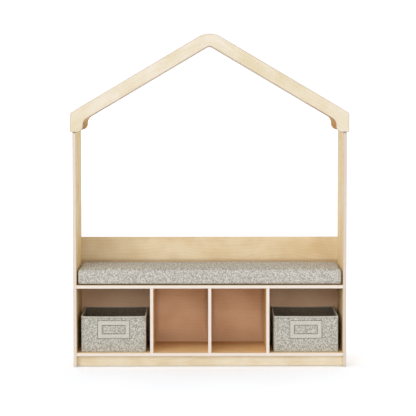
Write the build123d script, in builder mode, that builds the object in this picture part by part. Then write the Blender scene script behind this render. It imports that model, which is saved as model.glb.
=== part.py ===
from build123d import *
import os
from math import radians, tan

# House-frame storage bench: a low plywood unit with four cubbies, a cushioned seat, a low backrest,
# and a front and a rear house gable on the tall side panels. Two fabric bins stand in the outer cubbies.
# Millimetres. +X to the right, +Y to the rear, +Z up. The origin is on the floor, under the middle.

# ---- Driving dimensions: boards
bench_width = 1240.0
bench_depth = 400.0
board = 15.0
glide_height = 3.0
kick_top = 50.0
kick_setback = 20.0
plinth_setback = 15.0
seat_top = 374.0
divider_x = 264.0
backrest_height = 189.0
back_panel_thickness = 5.0
back_panel_inset = 5.0
groove_depth = 6.0
groove_play = 0.2
edge_round = 1.5

# ---- Driving dimensions: gables
gable_overhang = 11.0
gable_member = 59.0
leg_bottom = 1069.0
eave_height = 1155.0
roof_pitch = radians(30.6)
apex_outer_radius = 100.0
apex_inner_radius = 24.0
knee_radius = 36.0
leg_inner_radius = 28.0
leg_outer_radius = 5.0
eave_radius = 12.0
notch_gap = 4.0
gable_round = 3.0
ridge_rail_bottom = 1460.0
ridge_rail_height = 36.0

# ---- Driving dimensions: cushion
cushion_side_gap = 4.0
cushion_front_setback = 6.5
cushion_rear_gap = 5.0
cushion_thickness = 71.0
cushion_round = 10.0
cover_thickness = 1.0
zip_length = 900.0
zip_tape_width = 24.0
zip_tape_thickness = 0.5
zip_coil_width = 5.0
zip_coil_height = 1.2
slider_length = 12.0
slider_width = 9.0
slider_thickness = 1.6
slider_play = 0.25
slider_round = 1.0
pull_length = 24.0
pull_width = 4.0

# ---- Driving dimensions: bins
bin_width = 296.0
bin_depth = 345.0
bin_height = 164.2
bin_setback = 30.0
bin_corner = 4.0
bin_least_corner = 1.0
bin_cloth = 1.2
bin_stiffener = 2.2
bin_lining = 0.8
bin_binding = 0.8
bin_binding_drop = 10.0
stiffener_corner_gap = 8.0
base_board_thickness = 3.0
base_board_play = 1.5
label_width = 142.0
label_height = 76.0
label_window_width = 107.0
label_window_height = 45.0
label_centre_height = 103.0
label_thickness = 1.2
label_corner = 3.0
soft_gap = 0.3

# ---- Driving dimensions: fittings
cam_radius = 7.3
cam_height = 12.0
cam_pocket_radius = 7.5
cam_pocket_depth = 12.5
cam_setback = 24.0
cam_inset = 0.4
cam_slot_length = 9.0
cam_slot_width = 1.4
cam_slot_depth = 2.0
bolt_thread_radius = 2.4
bolt_thread_length = 10.0
bolt_hole_radius = 2.5
bolt_hole_depth = 11.0
bolt_shank_radius = 2.6
bolt_head_radius = 3.4
bolt_head_length = 3.0
bolt_bore_radius = 4.0
dowel_radius = 4.0
dowel_hole_radius = 4.1
dowel_shallow = 10.0
dowel_deep = 20.0
dowel_end_play = 0.5
dowel_chamfer = 1.0
screw_head_radius = 5.0
screw_neck_radius = 3.5
screw_core_radius = 2.4
screw_length = 50.0
screw_neck_length = 14.0
screw_point_length = 3.0
screw_play = 0.2
screw_hole_radius = 3.6
screw_pilot_radius = 2.5
screw_sink_angle = 90
screw_hex_radius = 2.0
screw_hex_depth = 3.0
glide_radius = 7.0
glide_round = 1.0
glide_pin_radius = 1.5
glide_pin_length = 12.0
glide_pin_play = 0.1

# ---- Where the fittings sit
cam_rows_y = (-150.0, 150.0)
dowel_rows_y = (-90.0, 90.0)
screw_rows_y = (-130.0, 130.0)
backrest_cams_z = (410.0, 520.0)
backrest_dowels_z = (465.0,)
gable_cam_height = 19.0
gable_dowel_height = 45.0
ridge_dowels_z = (9.0, 27.0)
support_dowels_y = (-60.0, 60.0)
panel_glides_y = (-170.0, 170.0)
support_glides_y = (-120.0, 120.0)

# ---- Worked out from the driving dimensions
half_width = bench_width / 2
inner_x = half_width - board
front_y = -bench_depth / 2
rear_y = bench_depth / 2
clear_width = 2 * inner_x
bottom_top = kick_top + board
seat_bottom = seat_top - board
cubby_height = seat_bottom - bottom_top
back_panel_rear = rear_y - back_panel_inset
back_panel_front = back_panel_rear - back_panel_thickness
panel_tab_top = leg_bottom + gable_member
notch_bottom = leg_bottom - notch_gap
tab_y = rear_y - board
kick_height = kick_top - glide_height
kick_front = front_y + kick_setback
plinth_rear = rear_y - plinth_setback
lower_rail_z = glide_height + kick_height / 2
outer_gable_x = half_width + gable_overhang
inner_gable_x = outer_gable_x - gable_member
rise = tan(roof_pitch)
outer_apex = eave_height + outer_gable_x * rise
inner_apex = outer_apex - gable_member * (1 + rise**2) ** 0.5
knee_z = inner_apex - inner_gable_x * rise
panel_mid_x = half_width - board / 2
seat_mid = seat_top - board / 2
bottom_mid = bottom_top - board / 2
backrest_mid = rear_y - board / 2
outer_cubby_x = (inner_x + divider_x + board / 2) / 2

os.makedirs("parts", exist_ok=True)


def export(piece, label):
    piece.part.label = label
    export_step(piece.part, f"parts/{label}.step")


def facing(x, y, z, direction, along=None):
    """A plane at a point, with its Z along a direction and, where it matters, its X along another."""
    return Plane(origin=(x, y, z), x_dir=along, z_dir=direction)


def drill(planes, radius, depth):
    """Blind holes that go down from each plane, against its Z."""
    with Locations(*planes):
        Hole(radius, depth=depth)


def drill_into(planes, radius, depth):
    """Blind holes that go up from each plane, along its Z."""
    drill([-plane for plane in planes], radius, depth)


# ---- Joint planes. Each lies on the face where two boards meet, and its Z points into the board's end.
def end_planes(points, signs=(-1, 1)):
    """Joint planes on the side panels' inner faces, for the board ends that meet them at (y, z)."""
    return [facing(s * inner_x, y, z, (-s, 0, 0)) for s in signs for y, z in points]


def cam_planes(points, out_direction):
    """Planes on a board's broad face over its cams. X points to the board's end."""
    planes = []
    for s in (-1, 1):
        for y, z in points:
            centre = Vector(s * (inner_x - cam_setback), y, z) + Vector(*out_direction) * (board / 2)
            planes.append(facing(*centre, out_direction, (s, 0, 0)))
    return planes


seat_cams = [(y, seat_mid) for y in cam_rows_y]
seat_dowels = [(y, seat_mid) for y in dowel_rows_y]
bottom_cams = [(y, bottom_mid) for y in cam_rows_y]
bottom_dowels = [(y, bottom_mid) for y in dowel_rows_y]
backrest_cams = [(backrest_mid, z) for z in backrest_cams_z]
backrest_dowels = [(backrest_mid, z) for z in backrest_dowels_z]
kick_cams = [(kick_front + board / 2, lower_rail_z)]
plinth_cams = [(plinth_rear - board / 2, lower_rail_z)]
all_end_cams = seat_cams + bottom_cams + backrest_cams + kick_cams + plinth_cams
all_end_dowels = seat_dowels + bottom_dowels + backrest_dowels

down = (0, 0, -1)
to_rear = (0, 1, 0)
to_front = (0, -1, 0)
board_cam_planes = (
    cam_planes(seat_cams, down)
    + cam_planes(bottom_cams, down)
    + cam_planes(backrest_cams, to_rear)
    + cam_planes(kick_cams, to_rear)
    + cam_planes(plinth_cams, to_front)
)


def gable_joint_planes(height, x_signs=(-1, 1), y_signs=(-1, 1)):
    """Joint planes between the gable legs and the tabs on the side panels' tops."""
    z = leg_bottom + height
    return [facing(sx * panel_mid_x, sy * tab_y, z, (0, -sy, 0)) for sx in x_signs for sy in y_signs]


def gable_cam_planes(x_signs=(-1, 1)):
    """Planes on the inner faces of the tabs, over the gable cams. X points to the gable."""
    z = leg_bottom + gable_cam_height
    y = tab_y - cam_setback
    return [facing(sx * inner_x, sy * y, z, (-sx, 0, 0), (0, sy, 0)) for sx in x_signs for sy in (-1, 1)]


def ridge_dowel_planes(y_signs=(-1, 1)):
    heights = [ridge_rail_bottom + z for z in ridge_dowels_z]
    return [facing(0, sy * tab_y, z, (0, -sy, 0)) for sy in y_signs for z in heights]


support_dowel_planes = [facing(0, y, kick_top, down) for y in support_dowels_y]
divider_centres = {"left_divider": -divider_x, "centre_divider": 0.0, "right_divider": divider_x}
seat_screw_planes = [facing(x, y, seat_top, (0, 0, 1)) for x in divider_centres.values() for y in screw_rows_y]
bottom_screw_planes = [facing(x, y, kick_top, down) for x in divider_centres.values() for y in screw_rows_y]
glide_planes = [facing(s * panel_mid_x, y, glide_height, down) for s in (-1, 1) for y in panel_glides_y]
glide_planes += [facing(0, y, glide_height, down) for y in support_glides_y]


def cut_glide_holes(planes):
    drill(planes, glide_pin_radius + glide_pin_play, glide_pin_length + dowel_end_play)


# ---- Side panels: floor to roof knee, with a tab between the two gables
for side, sign in (("left", -1), ("right", 1)):
    with BuildPart() as side_panel:
        with BuildSketch(Plane.YZ.offset(min(sign * half_width, sign * inner_x))):
            with BuildLine():
                Polyline(
                    (front_y, glide_height),
                    (rear_y, glide_height),
                    (rear_y, notch_bottom),
                    (tab_y, notch_bottom),
                    (tab_y, panel_tab_top),
                    (-tab_y, panel_tab_top),
                    (-tab_y, notch_bottom),
                    (front_y, notch_bottom),
                    close=True,
                )
            make_face()
        extrude(amount=board)
        front_face = side_panel.faces().sort_by(Axis.Y)[0]
        fillet(front_face.edges(), edge_round)
        groove_height = cubby_height + 2 * groove_depth
        groove_width = back_panel_thickness + groove_play
        with Locations((sign * (inner_x + groove_depth / 2), back_panel_rear, bottom_top - groove_depth)):
            Box(
                groove_depth,
                groove_width,
                groove_height,
                align=(Align.CENTER, Align.MAX, Align.MIN),
                mode=Mode.SUBTRACT,
            )
        drill(end_planes(all_end_cams, (sign,)), bolt_hole_radius, bolt_hole_depth)
        drill(end_planes(all_end_dowels, (sign,)), dowel_hole_radius, dowel_shallow + dowel_end_play)
        drill(gable_cam_planes((sign,)), cam_pocket_radius, cam_pocket_depth)
        drill_into(gable_joint_planes(gable_cam_height, (sign,)), bolt_bore_radius, cam_setback)
        drill_into(gable_joint_planes(gable_dowel_height, (sign,)), dowel_hole_radius, dowel_deep + dowel_end_play)
        cut_glide_holes([plane for plane in glide_planes if plane.origin.X * sign > inner_x])
    export(side_panel, f"{side}_side_panel")


# ---- Horizontal boards between the side panels
def ease_front(piece):
    """Rounds the two long front edges of a board."""
    front = piece.faces().sort_by(Axis.Y)[0]
    fillet(front.edges().filter_by(Axis.X), edge_round)


def cut_back_groove(z_face, groove_up):
    """The groove for the cubby back panel, in a board's face at z_face."""
    z_align = Align.MIN if groove_up else Align.MAX
    with Locations((0, back_panel_rear, z_face)):
        Box(
            clear_width,
            back_panel_thickness + groove_play,
            groove_depth,
            align=(Align.CENTER, Align.MAX, z_align),
            mode=Mode.SUBTRACT,
        )


with BuildPart() as seat_board:
    with Locations((0, 0, seat_mid)):
        Box(clear_width, bench_depth, board)
    ease_front(seat_board)
    cut_back_groove(seat_bottom, True)
    drill(cam_planes(seat_cams, down), cam_pocket_radius, cam_pocket_depth)
    drill_into(end_planes(seat_cams), bolt_bore_radius, cam_setback)
    drill_into(end_planes(seat_dowels), dowel_hole_radius, dowel_deep + dowel_end_play)
    with Locations(*seat_screw_planes):
        CounterSinkHole(screw_hole_radius, screw_head_radius, counter_sink_angle=screw_sink_angle)
export(seat_board, "seat_board")

with BuildPart() as bottom_board:
    with Locations((0, 0, bottom_mid)):
        Box(clear_width, bench_depth, board)
    ease_front(bottom_board)
    cut_back_groove(bottom_top, False)
    drill(cam_planes(bottom_cams, down), cam_pocket_radius, cam_pocket_depth)
    drill_into(end_planes(bottom_cams), bolt_bore_radius, cam_setback)
    drill_into(end_planes(bottom_dowels), dowel_hole_radius, dowel_deep + dowel_end_play)
    drill(support_dowel_planes, dowel_hole_radius, dowel_shallow + dowel_end_play)
    with Locations(*bottom_screw_planes):
        CounterSinkHole(screw_hole_radius, screw_head_radius, counter_sink_angle=screw_sink_angle)
export(bottom_board, "bottom_board")


# ---- Dividers
divider_depth = back_panel_front - front_y
for divider_name, x in divider_centres.items():
    with BuildPart() as divider:
        with Locations((x, front_y, bottom_top)):
            Box(board, divider_depth, cubby_height, align=(Align.CENTER, Align.MIN, Align.MIN))
        divider_front = divider.faces().sort_by(Axis.Y)[0]
        fillet(divider_front.edges().filter_by(Axis.Z), edge_round)
        top_pilots = [facing(x, y, seat_bottom, (0, 0, 1)) for y in screw_rows_y]
        bottom_pilots = [facing(x, y, bottom_top, down) for y in screw_rows_y]
        drill(top_pilots + bottom_pilots, screw_pilot_radius, screw_length - board + dowel_end_play)
    export(divider, divider_name)


# ---- Cubby back panel, in grooves all round
panel_margin = groove_depth - groove_play
with BuildPart() as cubby_back_panel:
    with Locations((0, back_panel_rear, bottom_top - panel_margin)):
        Box(
            clear_width + 2 * panel_margin,
            back_panel_thickness,
            cubby_height + 2 * panel_margin,
            align=(Align.CENTER, Align.MAX, Align.MIN),
        )
export(cubby_back_panel, "cubby_back_panel")


# ---- Backrest board
with BuildPart() as backrest_board:
    with Locations((0, backrest_mid, seat_top)):
        Box(clear_width, board, backrest_height, align=(Align.CENTER, Align.CENTER, Align.MIN))
    backrest_upper = backrest_board.faces().sort_by(Axis.Z)[-1]
    fillet(backrest_upper.edges().filter_by(Axis.X), edge_round)
    drill(cam_planes(backrest_cams, to_rear), cam_pocket_radius, cam_pocket_depth)
    drill_into(end_planes(backrest_cams), bolt_bore_radius, cam_setback)
    drill_into(end_planes(backrest_dowels), dowel_hole_radius, dowel_deep + dowel_end_play)
export(backrest_board, "backrest_board")


# ---- Toe kick, rear plinth and centre support under the bottom board
lower_rails = (
    ("front_toe_kick", kick_front + board / 2, kick_cams, to_rear),
    ("rear_plinth", plinth_rear - board / 2, plinth_cams, to_front),
)
for rail_name, y, rail_cams, cam_side in lower_rails:
    with BuildPart() as lower_rail:
        with Locations((0, y, lower_rail_z)):
            Box(clear_width, board, kick_height)
        drill(cam_planes(rail_cams, cam_side), cam_pocket_radius, cam_pocket_depth)
        drill_into(end_planes(rail_cams), bolt_bore_radius, cam_setback)
    export(lower_rail, rail_name)

support_front = kick_front + board
support_rear = plinth_rear - board
with BuildPart() as centre_support:
    with Locations((0, support_front, lower_rail_z)):
        Box(board, support_rear - support_front, kick_height, align=(Align.CENTER, Align.MIN, Align.CENTER))
    drill_into(support_dowel_planes, dowel_hole_radius, dowel_deep + dowel_end_play)
    cut_glide_holes([plane for plane in glide_planes if abs(plane.origin.X) < board])
export(centre_support, "centre_support")


# ---- Gables
def nearest_corner(sketch, x, z):
    return sketch.vertices().sort_by_distance((x, z, 0))[0]


gable_outline = [
    (-outer_gable_x, leg_bottom),
    (-outer_gable_x, eave_height),
    (0, outer_apex),
    (outer_gable_x, eave_height),
    (outer_gable_x, leg_bottom),
    (inner_gable_x, leg_bottom),
    (inner_gable_x, knee_z),
    (0, inner_apex),
    (-inner_gable_x, knee_z),
    (-inner_gable_x, leg_bottom),
]
for gable_name, y_sign in (("front_gable", -1), ("rear_gable", 1)):
    with BuildPart() as gable:
        with BuildSketch(Plane.XZ.offset(min(-y_sign * rear_y, -y_sign * tab_y))) as gable_sketch:
            with BuildLine():
                Polyline(*gable_outline, close=True)
            make_face()
            fillet(nearest_corner(gable_sketch, 0, outer_apex), apex_outer_radius)
            fillet(nearest_corner(gable_sketch, 0, inner_apex), apex_inner_radius)
            for x_sign in (-1, 1):
                fillet(nearest_corner(gable_sketch, x_sign * inner_gable_x, knee_z), knee_radius)
                fillet(nearest_corner(gable_sketch, x_sign * inner_gable_x, leg_bottom), leg_inner_radius)
                fillet(nearest_corner(gable_sketch, x_sign * outer_gable_x, leg_bottom), leg_outer_radius)
                fillet(nearest_corner(gable_sketch, x_sign * outer_gable_x, eave_height), eave_radius)
        extrude(amount=board)
        broad_faces = gable.faces().filter_by(Axis.Y)
        fillet(broad_faces.edges(), gable_round)
        bolt_joints = gable_joint_planes(gable_cam_height, y_signs=(y_sign,))
        dowel_joints = gable_joint_planes(gable_dowel_height, y_signs=(y_sign,)) + ridge_dowel_planes((y_sign,))
        drill(bolt_joints, bolt_hole_radius, bolt_hole_depth)
        drill(dowel_joints, dowel_hole_radius, dowel_shallow + dowel_end_play)
    export(gable, gable_name)

with BuildPart() as ridge_rail:
    with Locations((0, 0, ridge_rail_bottom)):
        Box(board, 2 * tab_y, ridge_rail_height, align=(Align.CENTER, Align.CENTER, Align.MIN))
    fillet(ridge_rail.edges().filter_by(Axis.Y), edge_round)
    drill_into(ridge_dowel_planes(), dowel_hole_radius, dowel_deep + dowel_end_play)
export(ridge_rail, "ridge_rail")


# ---- Cam locks: one is made at the origin, its top face up and its bolt coming in along X
with BuildPart() as one_cam_lock:
    with Locations((0, 0, -cam_inset)):
        Cylinder(cam_radius, cam_height, align=(Align.CENTER, Align.CENTER, Align.MAX))
    with Locations(facing(0, 0, -board / 2, (1, 0, 0))):
        Cylinder(
            bolt_bore_radius,
            2 * cam_radius,
            align=(Align.CENTER, Align.CENTER, Align.CENTER),
            mode=Mode.SUBTRACT,
        )
    with BuildSketch(Plane.XY.offset(-cam_inset)):
        Rectangle(cam_slot_length, cam_slot_width)
        Rectangle(cam_slot_width, cam_slot_length)
    extrude(amount=-cam_slot_depth, mode=Mode.SUBTRACT)

with BuildPart() as cam_locks:
    with Locations(*board_cam_planes, *gable_cam_planes()):
        add(one_cam_lock.part)
export(cam_locks, "cam_locks")


# ---- Cam bolts: the thread is in the drilled face, the head is held in the cam
with BuildPart() as one_cam_bolt:
    Cylinder(bolt_thread_radius, bolt_thread_length, align=(Align.CENTER, Align.CENTER, Align.MAX))
    Cylinder(bolt_shank_radius, cam_setback, align=(Align.CENTER, Align.CENTER, Align.MIN))
    with Locations((0, 0, cam_setback)):
        Cylinder(bolt_head_radius, bolt_head_length, align=(Align.CENTER, Align.CENTER, Align.MAX))

with BuildPart() as cam_bolts:
    with Locations(*end_planes(all_end_cams), *gable_joint_planes(gable_cam_height)):
        add(one_cam_bolt.part)
export(cam_bolts, "cam_bolts")


# ---- Dowels
with BuildPart() as one_dowel:
    Cylinder(dowel_radius, dowel_shallow, align=(Align.CENTER, Align.CENTER, Align.MAX))
    Cylinder(dowel_radius, dowel_deep, align=(Align.CENTER, Align.CENTER, Align.MIN))
    chamfer(one_dowel.edges().filter_by(GeomType.CIRCLE).group_by(Axis.Z)[0], dowel_chamfer)
    chamfer(one_dowel.edges().filter_by(GeomType.CIRCLE).group_by(Axis.Z)[-1], dowel_chamfer)

dowel_planes = end_planes(all_end_dowels) + gable_joint_planes(gable_dowel_height)
dowel_planes += ridge_dowel_planes() + support_dowel_planes
with BuildPart() as wooden_dowels:
    with Locations(*dowel_planes):
        add(one_dowel.part)
export(wooden_dowels, "wooden_dowels")


# ---- Confirmat screws: flat heads, a thick neck in the outer board and a thinner core in the divider
sink_depth = screw_head_radius - screw_neck_radius
with BuildPart() as one_screw:
    with BuildSketch(Plane.XZ):
        with BuildLine():
            Polyline(
                (0, 0),
                (screw_head_radius - screw_play, 0),
                (screw_neck_radius - screw_play, -sink_depth),
                (screw_neck_radius - screw_play, -screw_neck_length),
                (screw_core_radius, -board),
                (screw_core_radius, screw_point_length - screw_length),
                (0, -screw_length),
                close=True,
            )
        make_face()
    revolve(axis=Axis.Z)
    with BuildSketch(Plane.XY):
        RegularPolygon(screw_hex_radius, 6)
    extrude(amount=-screw_hex_depth, mode=Mode.SUBTRACT)

with BuildPart() as confirmat_screws:
    with Locations(*seat_screw_planes, *bottom_screw_planes):
        add(one_screw.part)
export(confirmat_screws, "confirmat_screws")


# ---- Floor glides: round nylon feet with a pin
with BuildPart() as one_glide:
    Cylinder(glide_radius, glide_height, align=(Align.CENTER, Align.CENTER, Align.MIN))
    fillet(one_glide.edges().group_by(Axis.Z)[-1], glide_round)
    Cylinder(glide_pin_radius, glide_pin_length, align=(Align.CENTER, Align.CENTER, Align.MAX))

with BuildPart() as floor_glides:
    with Locations(*glide_planes):
        add(one_glide.part)
export(floor_glides, "floor_glides")


# ---- Cushion: a foam block in a cover with a zip along its rear face
cushion_front = front_y + cushion_front_setback
cushion_rear = tab_y - cushion_rear_gap
cushion_width = clear_width - 2 * cushion_side_gap
cushion_depth = cushion_rear - cushion_front
cushion_bottom = seat_top + soft_gap
cushion_mid_z = cushion_bottom + cushion_thickness / 2
cushion_mid_y = (cushion_front + cushion_rear) / 2

with BuildPart() as cushion_foam:
    with Locations((0, cushion_mid_y, cushion_mid_z)):
        Box(
            cushion_width - 2 * cover_thickness,
            cushion_depth - 2 * cover_thickness,
            cushion_thickness - 2 * cover_thickness,
        )
    fillet(cushion_foam.edges(), cushion_round - cover_thickness)
export(cushion_foam, "cushion_foam")

with BuildPart() as cushion_cover:
    with Locations((0, cushion_mid_y, cushion_mid_z)):
        Box(cushion_width, cushion_depth, cushion_thickness)
    fillet(cushion_cover.edges(), cushion_round)
    add(cushion_foam.part, mode=Mode.SUBTRACT)
export(cushion_cover, "cushion_cover")

coil_y = cushion_rear + zip_tape_thickness + zip_coil_height
with BuildPart() as cushion_zip:
    with Locations((0, cushion_rear, cushion_mid_z)):
        Box(zip_length, zip_tape_thickness, zip_tape_width, align=(Align.CENTER, Align.MIN, Align.CENTER))
        Box(
            zip_length,
            zip_tape_thickness + zip_coil_height,
            zip_coil_width,
            align=(Align.CENTER, Align.MIN, Align.CENTER),
        )
export(cushion_zip, "cushion_zip")

slider_x = zip_length / 2 - slider_length
with BuildPart() as zip_slider:
    with Locations((slider_x, coil_y + slider_play, cushion_mid_z)):
        Box(slider_length, slider_thickness, slider_width, align=(Align.CENTER, Align.MIN, Align.CENTER))
        Box(
            pull_width,
            slider_thickness,
            slider_width / 2 + pull_length,
            align=(Align.CENTER, Align.MIN, Align.MAX),
        )
    fillet(zip_slider.edges().filter_by(Axis.Y), slider_round)
export(zip_slider, "zip_slider")


# ---- Bins: open fabric boxes with boards between the cover and the lining
bin_bottom = bottom_top + soft_gap
cover_width = bin_width - 2 * bin_binding
cover_depth = bin_depth - 2 * bin_binding
wall_height = bin_height - bin_binding
bin_front = front_y + bin_setback
bin_mid_y = bin_front + bin_depth / 2
cover_front = bin_front + bin_binding
lining_inset = bin_cloth + bin_stiffener
wall_total = lining_inset + bin_lining
above_bottom = (Align.CENTER, Align.CENTER, Align.MIN)


def rounded_block(x, bottom, inset, height, mode=Mode.ADD):
    """A block on the bin's plan, drawn in from the cover's outer faces by inset."""
    with BuildSketch(Plane.XY.offset(bottom)) as plan:
        with Locations((x, bin_mid_y)):
            radius = max(bin_corner - inset, bin_least_corner)
            RectangleRounded(cover_width - 2 * inset, cover_depth - 2 * inset, radius)
    extrude(plan.sketch, amount=height, mode=mode)


for side, sign in (("left", -1), ("right", 1)):
    bin_x = sign * outer_cubby_x
    with BuildPart() as bin_cover:
        rounded_block(bin_x, bin_bottom, 0, wall_height)
        rounded_block(bin_x, bin_bottom + bin_cloth, bin_cloth, wall_height, Mode.SUBTRACT)
    export(bin_cover, f"{side}_bin_cover")

    lining_bottom = bin_bottom + bin_cloth
    lining_height = wall_height - bin_cloth
    with BuildPart() as bin_lining_shell:
        rounded_block(bin_x, lining_bottom, lining_inset, lining_height)
        rounded_block(bin_x, lining_bottom + bin_lining, wall_total, lining_height, Mode.SUBTRACT)
    export(bin_lining_shell, f"{side}_bin_lining")

    with BuildPart() as bin_stiffeners:
        front_board_length = cover_width - 2 * stiffener_corner_gap
        side_board_length = cover_depth - 2 * stiffener_corner_gap
        for y_sign in (-1, 1):
            y = bin_mid_y + y_sign * (cover_depth / 2 - bin_cloth - bin_stiffener / 2)
            with Locations((bin_x, y, lining_bottom)):
                Box(front_board_length, bin_stiffener, lining_height, align=above_bottom)
        for x_sign in (-1, 1):
            x = bin_x + x_sign * (cover_width / 2 - bin_cloth - bin_stiffener / 2)
            with Locations((x, bin_mid_y, lining_bottom)):
                Box(bin_stiffener, side_board_length, lining_height, align=above_bottom)
    export(bin_stiffeners, f"{side}_bin_stiffeners")

    with BuildPart() as bin_base_board:
        rounded_block(bin_x, lining_bottom + bin_lining, wall_total + base_board_play, base_board_thickness)
    export(bin_base_board, f"{side}_bin_base_board")

    rim_z = bin_bottom + wall_height
    flap_bottom = rim_z - bin_binding_drop
    with BuildPart() as bin_rim_binding:
        rounded_block(bin_x, flap_bottom, -bin_binding, bin_binding_drop + bin_binding)
        rounded_block(bin_x, flap_bottom, wall_total + bin_binding, 2 * bin_binding_drop, Mode.SUBTRACT)
        with BuildSketch(Plane.XY.offset(flap_bottom)):
            with Locations((bin_x, bin_mid_y)):
                RectangleRounded(cover_width, cover_depth, bin_corner)
                RectangleRounded(
                    cover_width - 2 * wall_total,
                    cover_depth - 2 * wall_total,
                    bin_least_corner,
                    mode=Mode.SUBTRACT,
                )
        extrude(amount=bin_binding_drop, mode=Mode.SUBTRACT)
    export(bin_rim_binding, f"{side}_bin_rim_binding")

    with BuildPart() as bin_label_frame:
        with BuildSketch(Plane.XZ.offset(-cover_front)):
            with Locations((bin_x, bin_bottom + label_centre_height)):
                RectangleRounded(label_width, label_height, label_corner)
                Rectangle(label_window_width, label_window_height, mode=Mode.SUBTRACT)
        extrude(amount=label_thickness)
    export(bin_label_frame, f"{side}_bin_label_frame")
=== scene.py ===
import bisect
import math

import bmesh
import bpy
from mathutils import Matrix, Vector, noise
from mathutils.bvhtree import BVHTree


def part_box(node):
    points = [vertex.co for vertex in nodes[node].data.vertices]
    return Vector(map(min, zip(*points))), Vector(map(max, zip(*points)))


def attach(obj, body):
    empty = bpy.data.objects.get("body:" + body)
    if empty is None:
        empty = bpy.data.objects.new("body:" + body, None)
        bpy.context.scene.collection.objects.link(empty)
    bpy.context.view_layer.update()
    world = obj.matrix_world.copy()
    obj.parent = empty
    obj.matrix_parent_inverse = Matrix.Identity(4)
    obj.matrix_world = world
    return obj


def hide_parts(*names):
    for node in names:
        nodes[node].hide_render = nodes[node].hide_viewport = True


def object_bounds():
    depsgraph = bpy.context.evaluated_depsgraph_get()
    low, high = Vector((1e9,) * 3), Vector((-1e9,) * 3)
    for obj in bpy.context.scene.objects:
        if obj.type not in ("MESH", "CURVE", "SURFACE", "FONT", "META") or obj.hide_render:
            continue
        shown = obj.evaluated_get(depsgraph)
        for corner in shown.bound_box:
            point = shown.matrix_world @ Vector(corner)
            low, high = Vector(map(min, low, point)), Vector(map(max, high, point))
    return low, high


# House-frame storage bench: plywood boards from the frame, with a cushion and two fabric bins made here.
# Everything is in metres, +Z up, the front towards -Y.

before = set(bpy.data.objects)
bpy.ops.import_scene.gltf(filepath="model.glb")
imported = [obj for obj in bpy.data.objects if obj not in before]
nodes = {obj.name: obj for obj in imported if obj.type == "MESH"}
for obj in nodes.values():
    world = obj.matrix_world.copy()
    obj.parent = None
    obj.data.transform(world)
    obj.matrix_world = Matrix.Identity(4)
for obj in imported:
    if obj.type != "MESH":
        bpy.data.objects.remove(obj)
cad_low, cad_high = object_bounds()
scene = bpy.context.scene
MM = 0.001


# ---------------------------------------------------------------- Camera
# Fitted to the edges of the bench in the photo: lens and sensor in millimetres, angles in radians.
CAMERA_LENS = 174.66
CAMERA_SENSOR = 36.0
CAMERA_PLACE = Vector((-0.0194, -9.3119, 1.3555))
CAMERA_PITCH = 0.0690
CAMERA_YAW = 0.0013
CAMERA_ROLL = -0.0009


def make_camera():
    data = bpy.data.cameras.new("camera")
    data.lens = CAMERA_LENS
    data.sensor_width = CAMERA_SENSOR
    data.clip_start = 0.1
    data.clip_end = 200.0
    camera = bpy.data.objects.new("camera", data)
    scene.collection.objects.link(camera)
    level = math.cos(CAMERA_PITCH)
    forward = Vector((math.sin(CAMERA_YAW) * level, math.cos(CAMERA_YAW) * level, -math.sin(CAMERA_PITCH)))
    right = Vector((math.cos(CAMERA_YAW), -math.sin(CAMERA_YAW), 0))
    up = right.cross(forward)
    cos_roll, sin_roll = math.cos(CAMERA_ROLL), math.sin(CAMERA_ROLL)
    right, up = cos_roll * right + sin_roll * up, cos_roll * up - sin_roll * right
    rotation = Matrix((right, up, -forward)).transposed()
    camera.matrix_world = Matrix.Translation(CAMERA_PLACE) @ rotation.to_4x4()
    scene.camera = camera


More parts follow.
